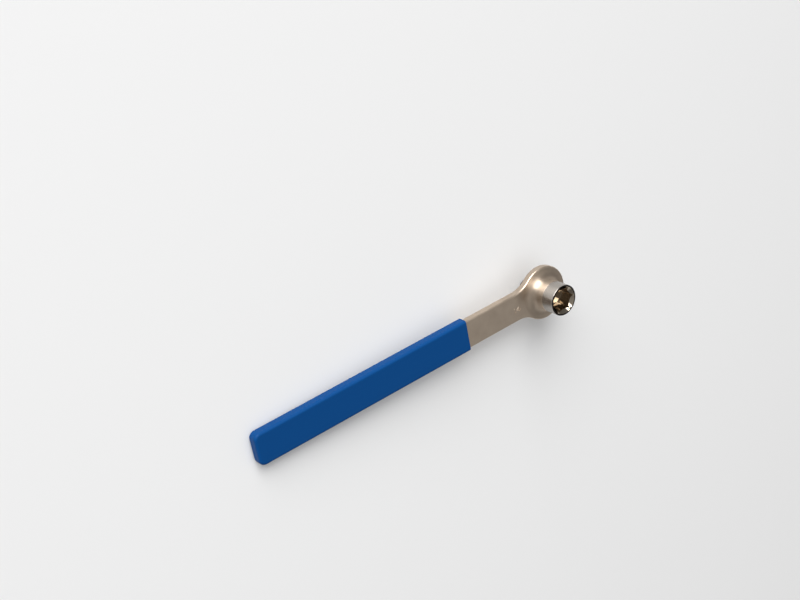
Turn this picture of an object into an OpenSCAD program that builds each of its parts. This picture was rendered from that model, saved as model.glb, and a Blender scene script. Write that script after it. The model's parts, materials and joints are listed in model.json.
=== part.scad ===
// Crank bolt socket wrench: a flat forged handle with a dipped grip, a 14 mm socket on one face
// of its round head and an 8 mm hexagon bit on the other. It lies on the bit and on the end of
// the grip, with the socket's mouth up and the handle along +X.

/* [Handle bar] */
// Width of the bare bar
bar_w = 19.05; // [16:0.05:22]
// Thickness of the bar and of the round head
bar_t = 5; // [4:0.1:7]
// Distance from the socket's axis to the far end of the bar
bar_len = 224.8; // [150:0.1:320]
// Radius on the forged edges of the bar and the head
edge_r = 1.2; // [0.4:0.1:1.8]
// Radius on the corners of the bar's hidden end, seen from above
bar_corner_r = 3; // [2:0.5:6]

/* [Head] */
// Diameter of the round head
head_d = 35.8; // [33:0.1:44]
// Radius of the hollow curve between the head and the bar
neck_r = 18; // [8:0.5:30]
// Height of the boss over the head
boss_h = 11; // [8:0.5:16]
// Radius of the hollow curve at the foot of the boss
boss_fillet_r = 5; // [2:0.5:5.5]

/* [Socket] */
// Outer diameter of the socket and of the boss
socket_d = 20.5; // [20:0.1:21]
// Length of the socket that stands out of the boss
socket_out = 7.4; // [5:0.1:12]
// Hexagon size across the flats, for a 14 mm bolt head
socket_af = 14.1; // [13.6:0.1:14.4]
// Depth of the hexagon below the mouth
socket_depth = 11; // [8:0.5:12]
// Diameter of the lead-in at the mouth
lead_in_d = 18.4; // [17:0.1:18.8]
// Angle of the lead-in from the socket's axis
lead_in_angle = 45; // [30:1:60]
// Chamfer around the outside of the mouth
mouth_chamfer = 0.5; // [0.2:0.1:0.7]
// Diameter of the relief drilled in each corner of the hexagon
corner_relief_d = 1.2; // [0.6:0.1:1.4]
// Diameter of the bore below the hexagon
pilot_d = 13.2; // [11:0.1:13.8]
// Depth of that bore below the hexagon
pilot_depth = 1.6; // [1:0.1:2.5]
// Diameter of the shank that is pressed in the boss
shank_d = 18; // [17.6:0.1:18.4]

/* [Hexagon bit] */
// Size of the bit across its flats
bit_af = 8; // [6:0.5:10]
// Length of the bit that stands out of the head's back
bit_out = 14; // [10:0.5:20]
// Length of the bit that is held in the foot of the socket
bit_hold = 3; // [1.5:0.5:4]
// Cut on the corners at the bit's tip
bit_tip_cut = 0.4; // [0.2:0.1:0.6]
// Angle of that cut from the bit's axis
bit_tip_angle = 30; // [20:1:45]

/* [Grip] */
// Distance from the socket's axis to the grip's end line
grip_start = 65.7; // [55:0.1:90]
// Thickness of the dipped vinyl
grip_wall = 1.2; // [0.8:0.1:2.5]
// Edge break at the grip's open end
grip_lip = 0.4; // [0.1:0.1:0.7]

/* [Hidden] */

$fn = 72;
HEX = 6;
HEAD_STEPS = 72;
NECK_STEPS = 14;
CORNER_STEPS = 6;
EDGE_STEPS = 5;
CUT_PAST = 1;
// The boss's hollow curve runs this far into the head's face, so that it cuts it cleanly.
FILLET_SINK = 0.03;

mouth_z = boss_h + socket_out;
tip_z = -bar_t - bit_out;

// The neck curve's centre lies off the bar's side and off the head's rim by its own radius.
neck_y = bar_w / 2 + neck_r;
neck_x = sqrt(pow(head_d / 2 + neck_r, 2) - neck_y * neck_y);
neck_angle = atan2(neck_y, neck_x);

socket_across = socket_af / cos(30);
bit_across = bit_af / cos(30);
bit_tip_r = bit_across / 2 - bit_tip_cut;

grip_w = bar_w + 2 * grip_wall;
grip_t = bar_t + 2 * grip_wall;
grip_edge_r = edge_r + grip_wall;
grip_corner_r = bar_corner_r + grip_wall;
grip_end = bar_len + grip_wall;

// The wrench lies on the near edge of the bit's tip and on the round lower edge of the grip's end.
// The floor is the line from the first that touches the second.
tip_x = bit_af / 2;
end_x = grip_end - grip_edge_r;
end_z = grip_edge_r - bar_t - grip_wall;
rest_tilt = atan2(end_z - tip_z, end_x - tip_x)
    - asin(grip_edge_r / norm([end_x - tip_x, end_z - tip_z]));
rest_lift = tip_x * sin(rest_tilt) - tip_z * cos(rest_tilt);
// Ends of the lying wrench along X, at the head's lower rim and at the grip's upper edge.
rest_left = -(head_d / 2 - edge_r) * cos(rest_tilt) + (edge_r - bar_t) * sin(rest_tilt) - edge_r;
rest_right = end_x * cos(rest_tilt) + (grip_wall - grip_edge_r) * sin(rest_tilt) + grip_edge_r;

module at_rest() {
    translate([-(rest_left + rest_right) / 2, 0, rest_lift]) rotate([0, rest_tilt, 0]) children();
}

// Points of an arc about [x, y], ends included.
function arc(x, y, r, from, to, steps) =
    [for (i = [0 : steps]) let (a = from + (to - from) * i / steps) [x + r * cos(a), y + r * sin(a)]];

// Both corners of the bar's far end, drawn in by the given inset.
function bar_end_outline(inset) = concat(
    arc(bar_len - bar_corner_r, bar_corner_r - bar_w / 2, bar_corner_r - inset, -90, 0, CORNER_STEPS),
    arc(bar_len - bar_corner_r, bar_w / 2 - bar_corner_r, bar_corner_r - inset, 0, 90, CORNER_STEPS)
);

// Outline of head, necks and bar as one closed loop.
function forging_outline(inset) = concat(
    arc(0, 0, head_d / 2 - inset, neck_angle, 360 - neck_angle, HEAD_STEPS),
    arc(neck_x, -neck_y, neck_r + inset, 180 - neck_angle, 90, NECK_STEPS),
    bar_end_outline(inset),
    arc(neck_x, neck_y, neck_r + inset, 270, 180 + neck_angle, NECK_STEPS)
);

// Outline of the length of bar that the grip covers, run on past the grip's end line.
function gripped_outline(inset) = concat(
    [[grip_start - CUT_PAST, inset - bar_w / 2]],
    bar_end_outline(inset),
    [[grip_start - CUT_PAST, bar_w / 2 - inset]]
);

// Layers from a lower face to an upper one with round edges between: [inset, height, distance to
// the nearer of the two faces].
function round_layers(bottom, top, r) = concat(
    [for (i = [0 : EDGE_STEPS]) let (a = 90 * i / EDGE_STEPS, h = r * (1 - cos(a)))
        [r * (1 - sin(a)), bottom + h, h]],
    [for (i = [EDGE_STEPS : -1 : 0]) let (a = 90 * i / EDGE_STEPS, h = r * (1 - cos(a)))
        [r * (1 - sin(a)), top - h, h]]
);

// Solid through a stack of loops that have equally many points, each at its own height.
module loft(loops, heights) {
    count = len(loops[0]);
    points = [for (k = [0 : len(loops) - 1]) for (p = loops[k]) [p[0], p[1], heights[k]]];
    sides = [for (k = [0 : len(loops) - 2]) for (i = [0 : count - 1])
        let (a = k * count + i, b = k * count + (i + 1) % count) [a, a + count, b + count, b]];
    lower = [for (i = [0 : count - 1]) i];
    upper = [for (i = [count - 1 : -1 : 0]) (len(loops) - 1) * count + i];
    polyhedron(points, concat([lower], sides, [upper]));
}

// Bar and round head in one thickness, without the boss.
module flat_forging() {
    layers = round_layers(-bar_t, 0, edge_r);
    loft([for (layer = layers) forging_outline(layer[0])], [for (layer = layers) layer[1]]);
}

// The length of that forging that fills the grip.
module gripped_bar() {
    layers = round_layers(-bar_t, 0, edge_r);
    loft([for (layer = layers) gripped_outline(layer[0])], [for (layer = layers) layer[1]]);
}

// Outline of the grip: round corners at the far end, and a broken edge at the end line.
function grip_outline(inset, edge_break) =
    let (half = grip_w / 2 - inset)
    let (corner_x = grip_end - grip_corner_r, corner_y = grip_w / 2 - grip_corner_r)
    concat(
        [[grip_start + edge_break, grip_lip - half], [grip_start + edge_break + grip_lip, -half]],
        arc(corner_x, -corner_y, grip_corner_r - inset, -90, 0, CORNER_STEPS),
        arc(corner_x, corner_y, grip_corner_r - inset, 0, 90, CORNER_STEPS),
        [[grip_start + edge_break + grip_lip, half], [grip_start + edge_break, half - grip_lip]]
    );

// Half section of the boss, its foot spread into the head's face by a hollow curve.
module boss_profile() {
    difference() {
        translate([0, -bar_t / 2]) square([socket_d / 2 + boss_fillet_r, bar_t / 2 + boss_h]);
        translate([socket_d / 2 + boss_fillet_r, boss_fillet_r - FILLET_SINK]) circle(boss_fillet_r);
        translate([socket_d / 2, boss_fillet_r - FILLET_SINK]) square([2 * boss_fillet_r, boss_h]);
    }
}

// Forged in one piece: bar, head and boss, bored for the socket and broached for the bit.
module wrench_body() at_rest() color("#a2958a") difference() {
    union() {
        flat_forging();
        rotate_extrude() boss_profile();
    }
    cylinder(h = boss_h + CUT_PAST, d = shank_d);
    bit_prism(-bar_t - CUT_PAST, CUT_PAST);
}

// Hexagon of the bit, a flat towards the handle.
module bit_prism(z0, z1) {
    translate([0, 0, z0]) rotate([0, 0, 30]) cylinder(h = z1 - z0, d = bit_across, $fn = HEX);
}

// Hexagon of the socket, a corner towards the handle, with a drilled relief in each corner.
module hex_cavity() {
    relief_r = corner_relief_d / 2;
    translate([0, 0, mouth_z - socket_depth]) {
        cylinder(h = socket_depth + CUT_PAST, d = socket_across, $fn = HEX);
        for (corner = [0 : HEX - 1])
            rotate([0, 0, corner * 360 / HEX]) translate([(socket_across - relief_r) / 2, 0, 0])
                cylinder(h = socket_depth + CUT_PAST, r = relief_r);
    }
}

// Turned insert: the shank is pressed in the boss and the collar stands on the boss's top.
module socket() at_rest() color("#c9ccd2") difference() {
    union() {
        cylinder(h = boss_h, d = shank_d);
        translate([0, 0, boss_h]) cylinder(h = socket_out - mouth_chamfer, d = socket_d);
        translate([0, 0, mouth_z - mouth_chamfer])
            cylinder(h = mouth_chamfer, d1 = socket_d, d2 = socket_d - 2 * mouth_chamfer);
    }
    hex_cavity();
    lead_in();
    translate([0, 0, mouth_z - socket_depth - pilot_depth])
        cylinder(h = pilot_depth + CUT_PAST, d = pilot_d);
    bit_prism(-CUT_PAST, bit_hold);
}

// Cone that opens the socket's mouth from the hexagon's flats.
module lead_in() {
    depth = (lead_in_d / 2 - socket_af / 2) / tan(lead_in_angle);
    past = CUT_PAST * tan(lead_in_angle);
    translate([0, 0, mouth_z - depth])
        cylinder(h = depth + CUT_PAST, r1 = socket_af / 2, r2 = lead_in_d / 2 + past);
}

// Hexagon bar, its tip turned to a blunt cone.
module hex_bit() at_rest() color("#55565a") intersection() {
    bit_prism(tip_z, bit_hold);
    rotate_extrude() tip_profile();
}

// Half section of the bar's blank: a cone at the tip, and clear of the hexagon's corners above it.
module tip_profile() {
    blank_r = bit_across / 2 + CUT_PAST;
    cone_h = (blank_r - bit_tip_r) / tan(bit_tip_angle);
    top_z = bit_hold + CUT_PAST;
    polygon([[0, tip_z], [bit_tip_r, tip_z], [blank_r, tip_z + cone_h], [blank_r, top_z], [0, top_z]]);
}

// Vinyl sleeve left by dipping the bar: closed and round at the far end, square at its end line.
module grip() at_rest() color("#17508f") difference() {
    layers = round_layers(-bar_t - grip_wall, grip_wall, grip_edge_r);
    loft([for (layer = layers) grip_outline(layer[0], max(0, grip_lip - layer[2]))],
        [for (layer = layers) layer[1]]);
    gripped_bar();
}

wrench_body();
socket();
hex_bit();
grip();
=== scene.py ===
import json
from math import atan2, cos, pi, radians, sin, sqrt, tan

import bmesh
import bpy
from mathutils import Matrix, Vector


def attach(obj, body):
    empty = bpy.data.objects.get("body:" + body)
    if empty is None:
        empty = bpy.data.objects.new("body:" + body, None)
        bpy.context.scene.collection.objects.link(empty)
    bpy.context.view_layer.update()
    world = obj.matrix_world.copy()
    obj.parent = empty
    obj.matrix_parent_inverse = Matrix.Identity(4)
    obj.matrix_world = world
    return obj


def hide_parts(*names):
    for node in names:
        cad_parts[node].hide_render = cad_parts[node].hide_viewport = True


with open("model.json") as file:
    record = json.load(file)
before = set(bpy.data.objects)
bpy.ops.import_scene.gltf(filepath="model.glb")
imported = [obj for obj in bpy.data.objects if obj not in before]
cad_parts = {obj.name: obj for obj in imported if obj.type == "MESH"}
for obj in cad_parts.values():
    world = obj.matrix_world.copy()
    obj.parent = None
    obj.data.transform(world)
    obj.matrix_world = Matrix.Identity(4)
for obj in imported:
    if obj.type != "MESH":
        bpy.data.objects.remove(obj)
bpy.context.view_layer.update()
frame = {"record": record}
MM = 0.001

# Camera
# It stands where the photograph was taken from, found in the wrench's own directions: x along
# the handle, y across it and z out of the socket, all from the middle of the head's face.
MOUTH_Z = 18.4 * MM
SENSOR_WIDTH = 36.0
LENS_IN_PIXELS = 1500
PICTURE_WIDTH = 800
VIEW_RIGHT = Vector((-0.7742, 0.1765, 0.6079))
VIEW_UP = Vector((-0.4048, -0.8764, -0.2610))
VIEW_BACK = Vector((0.4867, -0.4481, 0.7499))
CAMERA_PLACE = Vector((544.5, -445.8, 669.9)) * MM

# The wrench rests at a tilt, on its bit and its grip's end, and lying carries it there.
socket_mount = next(m for m in frame["record"]["mounts"] if m["name"] == "socket_14mm")
socket_axis = Vector(socket_mount["axis"]).normalized()
head_centre = Vector(socket_mount["pos_m"]) - MOUTH_Z * socket_axis
tilt = atan2(socket_axis.x, socket_axis.z)
lying = Matrix.Translation(head_centre) @ Matrix.Rotation(tilt, 4, "Y")

camera_data = bpy.data.cameras.new("camera")
camera_data.sensor_width = SENSOR_WIDTH
camera_data.lens = SENSOR_WIDTH * LENS_IN_PIXELS / PICTURE_WIDTH
camera = bpy.data.objects.new("camera", camera_data)
bpy.context.scene.collection.objects.link(camera)
turned = Matrix((VIEW_RIGHT, VIEW_UP, VIEW_BACK)).transposed().to_4x4()
camera.matrix_world = lying @ Matrix.Translation(CAMERA_PLACE) @ turned
bpy.context.scene.camera = camera


# Forged body
# One steel forging: a flat bar, a round head and a boss on the head's face, with hollow curves
# between them. It is tumbled smooth, plated with satin nickel, and stamped with its size.
BAR_W = 19.05 * MM
BAR_T = 5.0 * MM
BAR_END = 224.8 * MM
BAR_CORNER_R = 3.0 * MM
FORGED_EDGE_R = 1.2 * MM
FORGED_EDGE_STEPS = 6
HEAD_R = 17.9 * MM
HEAD_STEPS = 120
NECK_R = 18.0 * MM
NECK_STEPS = 24
CORNER_STEPS = 8
BOSS_R = 10.25 * MM
BOSS_H = 11.0 * MM
BOSS_FILLET_R = 5.0 * MM
FILLET_STEPS = 16
ROUND_STEPS = 192
TURNED_R = HEAD_R - FORGED_EDGE_R
TURNED_RISE = 0.03 * MM
POLISHED_FROM = 9.1 * MM
FINE_LINE = 0.06 * MM
SHANK_R = 9.0 * MM
BIT_FLAT_R = 4.0 * MM

# Points nearer than WELD are made one, and a cutter runs past what it cuts by OVERCUT.
WELD = MM / 1000
OVERCUT = 1.0 * MM


def fresh():
    """Leaves edit mode and selects nothing, so that the next operator acts on one piece alone."""
    if bpy.context.object and bpy.context.object.mode == "EDIT":
        bpy.ops.object.mode_set(mode="OBJECT")
    bpy.ops.object.select_all(action="DESELECT")


def only(piece):
    """Selects one piece and makes it the active one."""
    fresh()
    piece.select_set(True)
    bpy.context.view_layer.objects.active = piece


def start_point(name, place):
    """A piece that holds one vertex, selected and open for editing."""
    fresh()
    bpy.ops.mesh.primitive_plane_add(size=MM, location=place)
    piece = bpy.context.object
    piece.name = name
    bpy.ops.object.transform_apply(location=True)
    bpy.ops.object.mode_set(mode="EDIT")
    bpy.ops.mesh.merge(type="CENTER")
    return piece


def sweep_arc(centre, angle, steps):
    """Draws the selected vertex clockwise round a centre, leaving its path as edges."""
    bpy.ops.mesh.spin(steps=steps, angle=angle, center=centre, axis=(0, 0, 1))


def draw_by(dx, dy, dz=0.0):
    """Draws the selection on by a step, a vertex into an edge or an outline into its walls."""
    bpy.ops.mesh.extrude_region_move(TRANSFORM_OT_translate={"value": (dx, dy, dz)})


def merge_and_face_out():
    """Makes one point of those that coincide, and turns the closed mesh's faces outward."""
    bpy.ops.mesh.select_all(action="SELECT")
    bpy.ops.mesh.remove_doubles(threshold=WELD)
    bpy.ops.mesh.normals_make_consistent(inside=False)


def apply_modifier(piece, kind, **settings):
    """Gives the piece a modifier of this kind and applies it."""
    only(piece)
    modifier = piece.modifiers.new(kind.lower(), kind)
    for key, value in settings.items():
        setattr(modifier, key, value)
    bpy.ops.object.modifier_apply(modifier=modifier.name)


def round_sharp_edges(piece, radius, steps, over):
    """Rounds every edge that turns by more than an angle in degrees."""
    apply_modifier(
        piece,
        "BEVEL",
        width=radius,
        segments=steps,
        limit_method="ANGLE",
        angle_limit=radians(over),
    )


def combine(piece, tool, operation):
    """Cuts the tool out of the piece, welds it on, or keeps what they share, and uses it up."""
    apply_modifier(piece, "BOOLEAN", operation=operation, object=tool, solver="EXACT")
    bpy.data.objects.remove(tool)


def close_half_outline(piece, thickness):
    """Mirrors half an outline across the handle, fills it, and draws the plate down from it."""
    apply_modifier(piece, "MIRROR", use_axis=(False, True, False), merge_threshold=WELD)
    only(piece)
    bpy.ops.object.mode_set(mode="EDIT")
    bpy.ops.mesh.select_all(action="SELECT")
    bpy.ops.mesh.remove_doubles(threshold=WELD)
    bpy.ops.mesh.edge_face_add()
    draw_by(0, 0, -thickness)
    merge_and_face_out()
    fresh()


def prism(sides, radius, bottom, top, turn=0.0, place=(0, 0)):
    """An upright bar with flat sides or, with many of them, a round one."""
    fresh()
    bpy.ops.mesh.primitive_cylinder_add(
        vertices=sides,
        radius=radius,
        depth=top - bottom,
        location=(place[0], place[1], (top + bottom) / 2),
        rotation=(0, 0, turn),
    )
    bpy.ops.object.transform_apply(location=True, rotation=True, scale=True)
    return bpy.context.object


def hexagon_corner(flat_r):
    """How far a hexagon's corners are from its middle, where its flats are flat_r from it."""
    return flat_r / cos(radians(30))


def quarter_turn(steps):
    """The angles that part a quarter turn evenly, both of its ends included."""
    return [i * pi / 2 / steps for i in range(steps + 1)]


def turn_profile(name, points):
    """Turns a half section, listed as radius and height, about the socket's axis."""
    piece = start_point(name, (points[0][0], 0, points[0][1]))
    for (r0, z0), (r1, z1) in zip(points, points[1:]):
        draw_by(r1 - r0, 0, z1 - z0)
    bpy.ops.mesh.select_all(action="SELECT")
    bpy.ops.mesh.spin(steps=ROUND_STEPS, angle=2 * pi, center=(0, 0, 0), axis=(0, 0, 1))
    merge_and_face_out()
    fresh()
    return piece


def linear(hex_code):
    """A written sRGB colour as the linear one that a shader takes."""
    parts = [int(hex_code[i : i + 2], 16) / 255 for i in (1, 3, 5)]
    plain = [c / 12.92 if c <= 0.04045 else ((c + 0.055) / 1.055) ** 2.4 for c in parts]
    return (*plain, 1.0)


def new_paint(name, colour, metallic, roughness):
    """A material with its shader's even settings. Returns it, its node tree and the shader."""
    paint = bpy.data.materials.new(name)
    paint.use_nodes = True
    shader = paint.node_tree.nodes["Principled BSDF"]
    shader.inputs["Base Color"].default_value = linear(colour)
    shader.inputs["Metallic"].default_value = metallic
    shader.inputs["Roughness"].default_value = roughness
    return paint, paint.node_tree, shader


def add_node(tree, kind, links=(), values=(), **settings):
    """Adds a node: links are (its input, a node, that node's output), values (input, number)."""
    node = tree.nodes.new(kind)
    for key, value in settings.items():
        setattr(node, key, value)
    for slot, value in values:
        node.inputs[slot].default_value = value
    for slot, source, output in links:
        tree.links.new(source.outputs[output], node.inputs[slot])
    return node


def wrench_space(tree):
    """Places in the wrench's own directions, from the head's centre, whatever way it lies."""
    place = add_node(tree, "ShaderNodeTexCoord")
    unlaid = lying.inverted()
    return add_node(
        tree,
        "ShaderNodeMapping",
        links=[("Vector", place, "Object")],
        values=[("Location", unlaid.to_translation()), ("Rotation", unlaid.to_euler())],
    )


def nickel(name, roughness):
    """Satin nickel plate, its tint and its sheen clouded a little from handling."""
    cloud_size = 9 * MM
    clouds_from, clouds_to = 0.3, 0.7
    sheen_spread = 0.04
    paint, tree, shader = new_paint(name, "#C5B4A2", metallic=1.0, roughness=roughness)
    space = wrench_space(tree)
    clouds = add_node(
        tree,
        "ShaderNodeTexNoise",
        links=[("Vector", space, "Vector")],
        values=[("Scale", 1 / cloud_size), ("Detail", 4.0), ("Roughness", 0.55)],
    )
    sheen = add_node(
        tree,
        "ShaderNodeMapRange",
        links=[("Value", clouds, "Fac")],
        values=[
            ("From Min", clouds_from),
            ("From Max", clouds_to),
            ("To Min", roughness - sheen_spread),
            ("To Max", roughness + sheen_spread),
        ],
    )
    tint = add_node(tree, "ShaderNodeValToRGB", links=[("Fac", clouds, "Fac")])
    deeper, paler = tint.color_ramp.elements
    deeper.position = clouds_from
    deeper.color = linear("#BFAE9C")
    paler.position = clouds_to
    paler.color = linear("#CABAA8")
    tree.links.new(sheen.outputs["Result"], shader.inputs["Roughness"])
    tree.links.new(tint.outputs["Color"], shader.inputs["Base Color"])
    return paint, tree, shader, space


def satin_nickel():
    """The tumbled forging: a soft, faintly pebbled sheen."""
    # The pebbles are drawn coarser than they are, to show.
    pebble_size = 0.5 * MM
    paint, tree, shader, space = nickel("satin_nickel", roughness=0.36)
    pebbles = add_node(
        tree,
        "ShaderNodeTexNoise",
        links=[("Vector", space, "Vector")],
        values=[("Scale", 1 / pebble_size), ("Detail", 3.0), ("Roughness", 0.6)],
    )
    pebbled = add_node(
        tree,
        "ShaderNodeBump",
        links=[("Height", pebbles, "Fac")],
        values=[("Strength", 0.25), ("Distance", 0.02 * MM)],
    )
    tree.links.new(pebbled.outputs["Normal"], shader.inputs["Normal"])
    return paint


def turn_finish(tree, shader, pull):
    """Fine rings from the lathe lie round the socket's axis and pull the light out across them."""
    across_the_rings = 0.25
    shader.inputs["Anisotropic"].default_value = pull
    shader.inputs["Anisotropic Rotation"].default_value = across_the_rings
    place = add_node(tree, "ShaderNodeTexCoord")
    outward = add_node(
        tree,
        "ShaderNodeVectorMath",
        links=[(0, place, "Object")],
        values=[(1, head_centre)],
        operation="SUBTRACT",
    )
    rings = add_node(
        tree,
        "ShaderNodeVectorMath",
        links=[(1, outward, "Vector")],
        values=[(0, socket_axis)],
        operation="CROSS_PRODUCT",
    )
    tree.links.new(rings.outputs["Vector"], shader.inputs["Tangent"])


def turned_nickel():
    """The face and boss, turned before they were plated, so that the light runs in streaks."""
    paint, tree, shader, _ = nickel("turned_nickel", roughness=0.42)
    turn_finish(tree, shader, pull=0.86)
    return paint


def finish_piece(piece, node, paint, sharp):
    """Closes the cuts' hair gaps, shades the piece, lays it as the wrench lies, and finishes it."""
    only(piece)
    bpy.ops.object.mode_set(mode="EDIT")
    merge_and_face_out()
    bpy.ops.mesh.delete_loose()
    bpy.ops.object.mode_set(mode="OBJECT")
    bpy.ops.object.shade_smooth_by_angle(angle=radians(sharp))
    apply_modifier(piece, "WEIGHTED_NORMAL", keep_sharp=True)
    piece.data.transform(lying)
    piece.data.materials.clear()
    piece.data.materials.append(paint)
    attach(piece, "root")
    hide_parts(node)


def paint_faces(piece, paint, test):
    """Gives one more material to the faces whose middles, in the wrench's space, pass the test."""
    piece.data.materials.append(paint)
    upright = lying.inverted()
    for face in piece.data.polygons:
        if test(upright @ face.center):
            face.material_index = len(piece.data.materials) - 1


neck_y = BAR_W / 2 + NECK_R
neck_x = sqrt((HEAD_R + NECK_R) ** 2 - neck_y**2)
neck_angle = atan2(neck_y, neck_x)
bar_corner_x = BAR_END - BAR_CORNER_R
bar_corner_y = BAR_W / 2 - BAR_CORNER_R
bit_corner_r = hexagon_corner(BIT_FLAT_R)

forging = start_point("forged_body", (-HEAD_R, 0, 0))
sweep_arc((0, 0, 0), pi - neck_angle, HEAD_STEPS)
sweep_arc((neck_x, neck_y, 0), neck_angle - pi / 2, NECK_STEPS)
draw_by(bar_corner_x - neck_x, 0)
sweep_arc((bar_corner_x, bar_corner_y, 0), pi / 2, CORNER_STEPS)
draw_by(0, -bar_corner_y)
close_half_outline(forging, BAR_T)
round_sharp_edges(forging, FORGED_EDGE_R, FORGED_EDGE_STEPS, over=60)

# The bare bar is kept aside, as the core that the grip is dipped on.
only(forging)
bpy.ops.object.duplicate()
dipped_core = bpy.context.object

# The head's face is turned in one cut with the boss, a hair proud of the forged bar.
hollow_foot = [
    (BOSS_R + BOSS_FILLET_R * (1 - sin(a)), BOSS_FILLET_R * (1 - cos(a)) + TURNED_RISE)
    for a in quarter_turn(FILLET_STEPS)
]
boss = turn_profile(
    "boss",
    [(0, -BAR_T / 2), (TURNED_R, -BAR_T / 2), (TURNED_R, TURNED_RISE)]
    + hollow_foot
    + [(BOSS_R, POLISHED_FROM - FINE_LINE), (BOSS_R - FINE_LINE, POLISHED_FROM)]
    + [(BOSS_R, POLISHED_FROM + FINE_LINE), (BOSS_R, BOSS_H), (0, BOSS_H)],
)
combine(forging, boss, "UNION")
combine(forging, prism(ROUND_STEPS, SHANK_R, 0, BOSS_H + OVERCUT), "DIFFERENCE")
combine(forging, prism(6, bit_corner_r, -BAR_T - OVERCUT, OVERCUT), "DIFFERENCE")

# The socket's size, 14, is struck by hand, upright to a reader who holds the grip on the left.
# Each stroke runs between two places, in millimetres from the middle of the stamp.
STAMP_PLACE = (23.6 * MM, 1.0 * MM)
PUNCH_HALF_W = 0.6 * MM
PUNCH_HALF_H = 0.45 * MM
PUNCH_DEPTH = 0.34 * MM
ONE = [((-1.9, -1.7), (-1.9, 1.7)), ((-1.85, 1.5), (-2.7, 0.75))]
FOUR = [((1.5, -1.7), (1.5, 1.7)), ((1.45, 1.55), (-0.55, -0.5)), ((-0.7, -0.62), (2.4, -0.62))]


def strike(start, end):
    """A stroke of a number punch: a flat diamond bar laid along the stroke, cut in edge first."""
    start_at = Vector([n * MM for n in start])
    end_at = Vector([n * MM for n in end])
    along = end_at - start_at
    middle = (end_at + start_at) / 2
    over_the_face = PUNCH_HALF_H - PUNCH_DEPTH
    fresh()
    bpy.ops.mesh.primitive_cylinder_add(
        vertices=4,
        radius=PUNCH_HALF_W,
        depth=along.length,
        scale=(1, PUNCH_HALF_H / PUNCH_HALF_W, 1),
        location=(STAMP_PLACE[0] - middle.x, STAMP_PLACE[1] - middle.y, over_the_face),
        rotation=(pi / 2, 0, atan2(along.y, along.x) + pi / 2),
    )
    bpy.ops.object.transform_apply(location=True, rotation=True, scale=True)
    combine(forging, bpy.context.object, "DIFFERENCE")


def was_turned(at):
    """The head's face, the hollow foot and the boss, which stand over the forged skin."""
    return at.z > TURNED_RISE / 2 and at.to_2d().length < TURNED_R


for start, end in ONE + FOUR:
    strike(start, end)
finish_piece(forging, "wrench_body", satin_nickel(), sharp=30)
paint_faces(forging, turned_nickel(), was_turned)


# Socket
# A turned steel insert, its shank pressed in the boss and its thin collar standing on it. The
# hexagon is broached, with drilled corners. The collar is polished and bright plated together
# with the last two millimetres of the boss, down to a fine turned line.
SOCKET_FLAT_R = 7.05 * MM
SOCKET_DEPTH = 11.0 * MM
LEAD_IN_R = 9.2 * MM
LEAD_IN_EASE = 0.06 * MM
EASE_ANGLE = radians(22.5)
CORNER_DRILL_R = 0.6 * MM
CORNER_DRILL_STEPS = 24
PILOT_R = 6.6 * MM
PILOT_DEPTH = 1.6 * MM
PILOT_STEPS = 96
MOUTH_ROUND = 0.5 * MM
MOUTH_STEPS = 6
RIM_DROP = 0.14 * MM
BIT_HOLD = 3.0 * MM


def chrome_plate():
    """Chrome on a turned collar: bright, and streaked along it across the lathe's rings."""
    # The rings are drawn wider than they are, to show. They come from noise that hardly changes
    # other than along the axis.
    ring_pitch = 0.3 * MM
    mainly_along = (0.02, 0.02, 1.0)
    paint, tree, shader = new_paint("chrome_plate", "#B4AEA7", metallic=1.0, roughness=0.25)
    turn_finish(tree, shader, pull=0.95)
    space = wrench_space(tree)
    flattened = add_node(
        tree,
        "ShaderNodeVectorMath",
        links=[(0, space, "Vector")],
        values=[(1, mainly_along)],
        operation="MULTIPLY",
    )
    rings = add_node(
        tree,
        "ShaderNodeTexNoise",
        links=[("Vector", flattened, "Vector")],
        values=[("Scale", 1 / ring_pitch), ("Detail", 2.0)],
    )
    ringed = add_node(
        tree,
        "ShaderNodeBump",
        links=[("Height", rings, "Fac")],
        values=[("Strength", 0.12), ("Distance", 0.01 * MM)],
    )
    tree.links.new(ringed.outputs["Normal"], shader.inputs["Normal"])
    return paint


def bore_chrome_painted_shade():
    """Chrome inside the socket, painted browner and a little darker than the collar as painted
    shade in the bore.
    """
    return new_paint("bore_chrome_painted_shade", "#B3A797", metallic=1.0, roughness=0.06)[0]


def rim_painted_dark_reflection():
    """The rim's flat top, painted near black as a painted dark reflection round the mouth."""
    return new_paint("rim_painted_dark_reflection", "#241F1C", metallic=1.0, roughness=0.3)[0]


def in_the_mouth(at):
    """Anywhere nearer to the axis than the collar's outer round."""
    return at.to_2d().length < BOSS_R - MOUTH_ROUND


def on_the_rim(at):
    """The top of the collar, from the start of the lead-in outward."""
    return at.z > MOUTH_Z - RIM_DROP and at.to_2d().length > LEAD_IN_R - RIM_DROP


socket_floor = MOUTH_Z - SOCKET_DEPTH
socket_corner_r = hexagon_corner(SOCKET_FLAT_R)

mouth_round = [
    (BOSS_R - MOUTH_ROUND * (1 - cos(a)), MOUTH_Z - MOUTH_ROUND * (1 - sin(a)))
    for a in quarter_turn(MOUTH_STEPS)
]
socket = turn_profile(
    "turned_socket",
    [(0, 0), (SHANK_R, 0), (SHANK_R, BOSS_H), (BOSS_R, BOSS_H)]
    + mouth_round
    + [(0, MOUTH_Z)],
)

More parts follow.
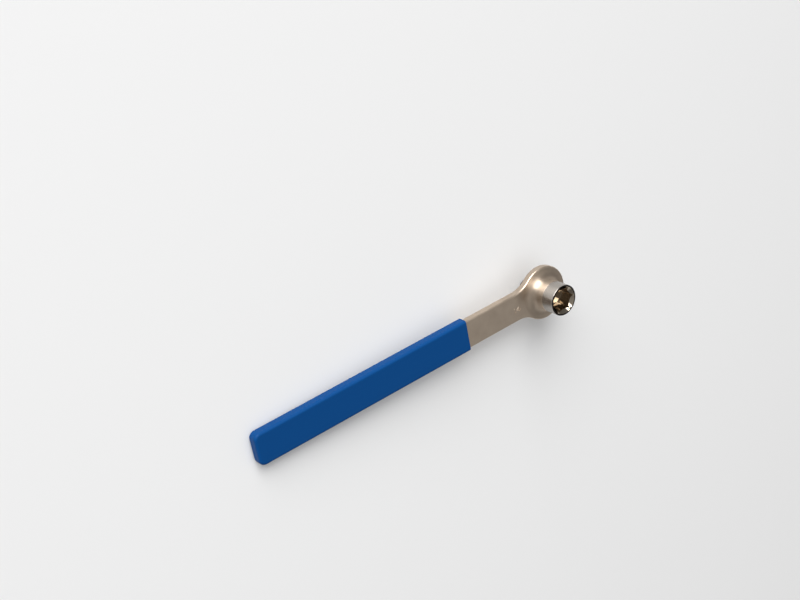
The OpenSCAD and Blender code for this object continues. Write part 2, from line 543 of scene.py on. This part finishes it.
# The hexagon's corners are drilled out, each hole centred half its radius in from the corner.
cavity = prism(6, socket_corner_r, socket_floor, MOUTH_Z + OVERCUT, turn=radians(30))
reach = socket_corner_r - CORNER_DRILL_R / 2
for corner in range(6):
    turn = corner * pi / 3
    drill = prism(
        CORNER_DRILL_STEPS,
        CORNER_DRILL_R,
        socket_floor,
        MOUTH_Z + OVERCUT,
        place=(reach * cos(turn), reach * sin(turn)),
    )
    combine(cavity, drill, "UNION")
pilot = prism(PILOT_STEPS, PILOT_R, socket_floor - PILOT_DEPTH, socket_floor + OVERCUT)
combine(cavity, pilot, "UNION")
combine(socket, cavity, "DIFFERENCE")

# The lead-in is a 45 degree cone, and its edge is eased by a second, flatter cut.
eased_r = LEAD_IN_R - LEAD_IN_EASE
lead_in = turn_profile(
    "lead_in",
    [
        (0, MOUTH_Z - LEAD_IN_R),
        (eased_r, MOUTH_Z - LEAD_IN_EASE),
        (eased_r + (LEAD_IN_EASE + OVERCUT) / tan(EASE_ANGLE), MOUTH_Z + OVERCUT),
        (0, MOUTH_Z + OVERCUT),
    ],
)
combine(socket, lead_in, "DIFFERENCE")
combine(socket, prism(6, bit_corner_r, -OVERCUT, BIT_HOLD), "DIFFERENCE")

bright_plate = chrome_plate()
finish_piece(socket, "socket", bright_plate, sharp=40)
paint_faces(forging, bright_plate, lambda at: at.z > POLISHED_FROM)
# The bore takes a painted shade: its chrome is browner and a little darker.
paint_faces(socket, bore_chrome_painted_shade(), in_the_mouth)
# The rim's top is painted near black, a painted dark reflection.
paint_faces(socket, rim_painted_dark_reflection(), on_the_rim)


# Hexagon bit
# A length of hardened 8 mm hexagon bar held in the head, its tip's corners turned off blunt and
# its skin left black.
BIT_OUT = 14.0 * MM
BIT_TIP_CUT = 0.4 * MM
BIT_TIP_ANGLE = radians(30)
BIT_EDGE_R = 0.25 * MM
BIT_EDGE_STEPS = 4


def black_oxide():
    """Black oxide on hardened steel: near black, dimly metallic, with an oily sheen."""
    grain_size = 0.6 * MM
    paint, tree, shader = new_paint("black_oxide", "#2A2A2D", metallic=1.0, roughness=0.36)
    space = wrench_space(tree)
    grain = add_node(
        tree,
        "ShaderNodeTexNoise",
        links=[("Vector", space, "Vector")],
        values=[("Scale", 1 / grain_size), ("Detail", 4.0)],
    )
    grained = add_node(
        tree,
        "ShaderNodeBump",
        links=[("Height", grain, "Fac")],
        values=[("Strength", 0.15), ("Distance", 0.02 * MM)],
    )
    tree.links.new(grained.outputs["Normal"], shader.inputs["Normal"])
    return paint


bit_tip_z = -BAR_T - BIT_OUT
bit_tip_r = bit_corner_r - BIT_TIP_CUT
blank_r = bit_corner_r + OVERCUT

bit = prism(6, bit_corner_r, bit_tip_z, BIT_HOLD)
bit.name = "hexagon_bit"
round_sharp_edges(bit, BIT_EDGE_R, BIT_EDGE_STEPS, over=40)

# The tip's corners are turned off to a cone, and what the hexagon shares with it is kept.
blank = turn_profile(
    "blank",
    [
        (0, bit_tip_z),
        (bit_tip_r, bit_tip_z),
        (blank_r, bit_tip_z + (blank_r - bit_tip_r) / tan(BIT_TIP_ANGLE)),
        (blank_r, BIT_HOLD + OVERCUT),
        (0, BIT_HOLD + OVERCUT),
    ],
)
combine(bit, blank, "INTERSECT")
finish_piece(bit, "hex_bit", black_oxide(), sharp=25)


# Grip
# Vinyl left on the bar by dipping it hot: an even soft-edged coat, closed at the far end and cut
# square at its end line, where a fine lip turns in to the bar.
GRIP_START = 65.7 * MM
GRIP_WALL = 1.2 * MM
GRIP_EDGE_R = 1.8 * MM
GRIP_EDGE_STEPS = 8
GRIP_LIP_R = 0.4 * MM
GRIP_LIP_STEPS = 4
NEAR = MM / 100


def dipped_vinyl():
    """Dipped vinyl: an even deep blue with a soft gloss and a slow ripple from the dip."""
    # The specks are drawn coarser than they are, to show.
    ripple_size = 12 * MM
    speck_size = 0.4 * MM
    paint, tree, shader = new_paint("dipped_vinyl", "#00407A", metallic=0.0, roughness=0.5)
    shader.inputs["Specular IOR Level"].default_value = 0.12
    space = wrench_space(tree)
    ripple = add_node(
        tree,
        "ShaderNodeTexNoise",
        links=[("Vector", space, "Vector")],
        values=[("Scale", 1 / ripple_size), ("Detail", 2.0)],
    )
    specks = add_node(
        tree,
        "ShaderNodeTexNoise",
        links=[("Vector", space, "Vector")],
        values=[("Scale", 1 / speck_size), ("Detail", 3.0)],
    )
    rippled = add_node(
        tree,
        "ShaderNodeBump",
        links=[("Height", ripple, "Fac")],
        values=[("Strength", 0.5), ("Distance", 0.25 * MM)],
    )
    specked = add_node(
        tree,
        "ShaderNodeBump",
        links=[("Height", specks, "Fac"), ("Normal", rippled, "Normal")],
        values=[("Strength", 0.12), ("Distance", 0.015 * MM)],
    )
    tree.links.new(specked.outputs["Normal"], shader.inputs["Normal"])
    return paint


def in_the_end_face(a, b):
    """An edge of the square end that faces the head."""
    return abs(a.x - GRIP_START) < NEAR and abs(b.x - GRIP_START) < NEAR


def along_the_coat(a, b):
    """An edge round the coat's upper or lower face, other than at its square end."""
    return abs(a.z - b.z) < NEAR and not in_the_end_face(a, b)


def round_edges(piece, test, radius, steps):
    """Rounds the edges whose two ends together pass the test."""
    only(piece)
    bpy.ops.object.mode_set(mode="EDIT")
    bpy.ops.mesh.select_mode(type="EDGE")
    bpy.ops.mesh.select_all(action="DESELECT")
    mesh = bmesh.from_edit_mesh(piece.data)
    for edge in mesh.edges:
        edge.select = test(edge.verts[0].co, edge.verts[1].co)
    bmesh.update_edit_mesh(piece.data)
    bpy.ops.mesh.bevel(offset=radius, segments=steps, affect="EDGES")
    fresh()


grip = start_point("dipped_grip", (GRIP_START, BAR_W / 2 + GRIP_WALL, GRIP_WALL))
draw_by(bar_corner_x - GRIP_START, 0)
sweep_arc((bar_corner_x, bar_corner_y, GRIP_WALL), pi / 2, 2 * CORNER_STEPS)
draw_by(0, -bar_corner_y)
close_half_outline(grip, BAR_T + 2 * GRIP_WALL)
round_edges(grip, along_the_coat, GRIP_EDGE_R, GRIP_EDGE_STEPS)
round_edges(grip, in_the_end_face, GRIP_LIP_R, GRIP_LIP_STEPS)
combine(grip, dipped_core, "DIFFERENCE")
finish_piece(grip, "grip", dipped_vinyl(), sharp=40)


# Floor and light
# A plain pale surface under the lying wrench, in a room that is pale low down, dark above that
# and lighter again overhead. A wide soft lamp shines from low on the side that the camera sees.
FLOOR_SIZE = 12.0
LOW_WALL = [(0.12, "#D8D8D8"), (0.28, "#6E6E6E")]
HIGH_WALL = [(0.55, "#787878"), (0.75, "#B4B4B4"), (1.0, "#D8D8D8")]
LAMP_TOWARD = Vector((0.28, -0.84, 0.47)).normalized()
LAMP_DISTANCE = 4.0
LAMP_WIDTH = 3.9
LAMP_HEIGHT = 3.2
LAMP_WATTS = 82
LAMP_SPREAD = radians(90)

fresh()
bpy.ops.mesh.primitive_plane_add(size=FLOOR_SIZE, location=(0, 0, 0))
floor = bpy.context.object
floor.name = "floor"
floor.data.materials.append(new_paint("pale_floor", "#EAEAEA", metallic=0.0, roughness=0.9)[0])

world = bpy.data.worlds.new("world")
world.use_nodes = True
room = world.node_tree
toward = add_node(room, "ShaderNodeTexCoord")
upward = add_node(room, "ShaderNodeSeparateXYZ", links=[("Vector", toward, "Generated")])
walls = add_node(room, "ShaderNodeValToRGB", links=[("Fac", upward, "Z")])
shades = walls.color_ramp.elements
for shade, (height, grey) in zip(shades, LOW_WALL):
    shade.position = height
    shade.color = linear(grey)
for height, grey in HIGH_WALL:
    shades.new(height).color = linear(grey)
room.links.new(walls.outputs["Color"], room.nodes["Background"].inputs["Color"])
bpy.context.scene.world = world
bpy.context.scene.view_settings.view_transform = "Standard"

lamp_data = bpy.data.lights.new("key_light", "AREA")
lamp_data.shape = "RECTANGLE"
lamp_data.size = LAMP_WIDTH
lamp_data.size_y = LAMP_HEIGHT
lamp_data.energy = LAMP_WATTS
lamp_data.spread = LAMP_SPREAD
lamp = bpy.data.objects.new("key_light", lamp_data)
bpy.context.scene.collection.objects.link(lamp)
lamp.location = LAMP_TOWARD * LAMP_DISTANCE
lamp.rotation_euler = LAMP_TOWARD.to_track_quat("Z", "Y").to_euler()
